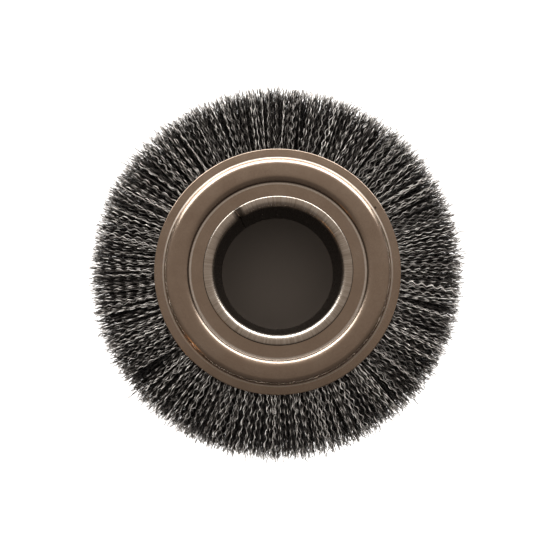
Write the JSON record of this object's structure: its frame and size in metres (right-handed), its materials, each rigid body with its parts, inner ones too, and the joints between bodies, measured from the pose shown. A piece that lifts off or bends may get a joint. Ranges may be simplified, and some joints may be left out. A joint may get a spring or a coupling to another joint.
{
  "type": "crimped wire wheel brush",
  "caption": "Crimped steel wire wheel for a bench grinder: folded wire rows on core rings, clamped by stamped side plates on a rolled arbor sleeve.",
  "frame": {"origin": "centre of the arbor bore, midway between the two hub lips", "axes": "+Z along the bore axis, up when the wheel lies on its rear hub lip; the front side plate faces +Z; +Y towards the top of the pictured face and +X to its right"},
  "size_m": [0.1524, 0.1524, 0.0286],
  "materials": {
    "plate_steel": "satin stamped sheet steel with a warm grey tone",
    "sleeve_steel": "rolled strip steel with fine forming marks on the lips",
    "wire_steel": "dark drawn carbon steel wire with bright crimp crests",
    "ring_steel": "plain round steel wire, hidden in the folds"
  },
  "bodies": {
    "root": {"front_side_plate": "plate_steel", "rear_side_plate": "plate_steel", "arbor_sleeve": "sleeve_steel", "wire_row_1": "wire_steel", "wire_row_2": "wire_steel", "wire_row_3": "wire_steel", "wire_row_4": "wire_steel", "core_ring_1": "ring_steel", "core_ring_2": "ring_steel", "core_ring_3": "ring_steel", "core_ring_4": "ring_steel"}
  },
  "joints": []
}
